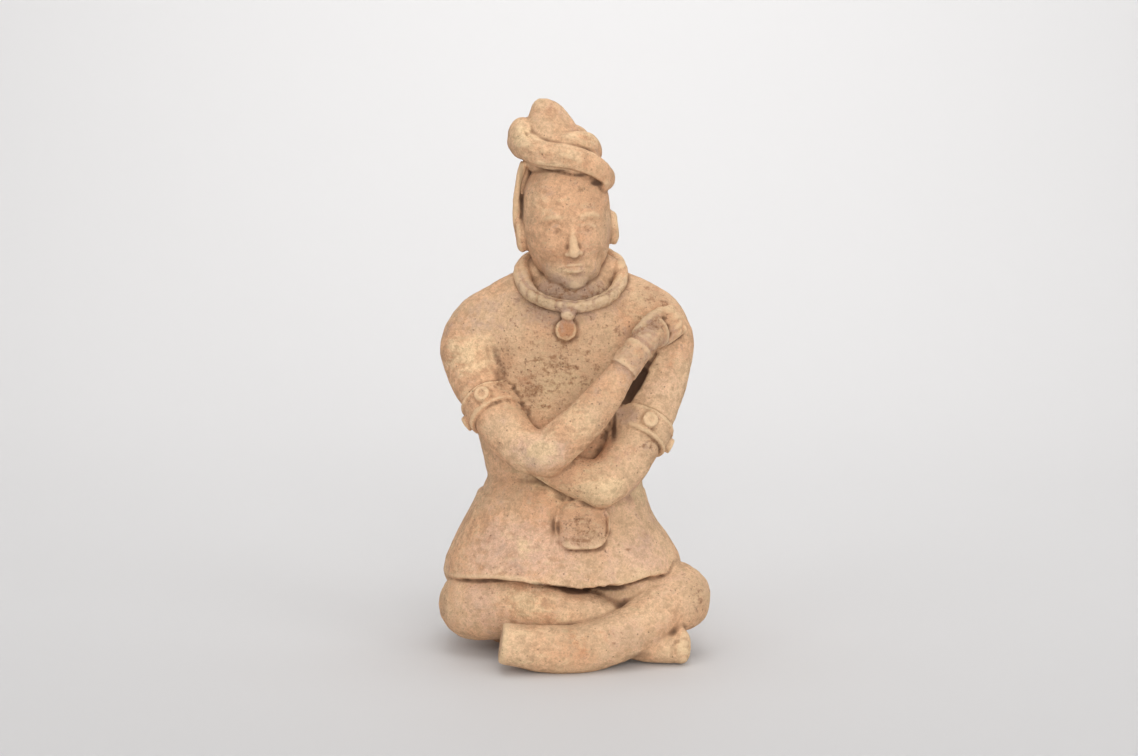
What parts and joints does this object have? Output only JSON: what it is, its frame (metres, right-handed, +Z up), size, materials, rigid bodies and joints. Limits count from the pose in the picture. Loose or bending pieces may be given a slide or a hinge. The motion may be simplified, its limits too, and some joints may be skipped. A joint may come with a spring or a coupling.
{
  "type": "seated figurine",
  "caption": "Seated cross-legged figurine of fired clay with a wound headdress, rope necklace, armbands and a flared kilt, one hand on its shoulder.",
  "frame": {"origin": "middle of the bounding box, on the flat underside that the figurine stands on", "axes": "+Z up, -Y the way the figurine faces, -X its own right side"},
  "size_m": [0.0994, 0.0848, 0.2008],
  "materials": {
    "fired_clay": "matt unglazed fired clay, buff to peach, with brown mottling, pale crust and soil in the hollows"
  },
  "bodies": {
    "root": {"figurine": "fired_clay"}
  },
  "joints": []
}
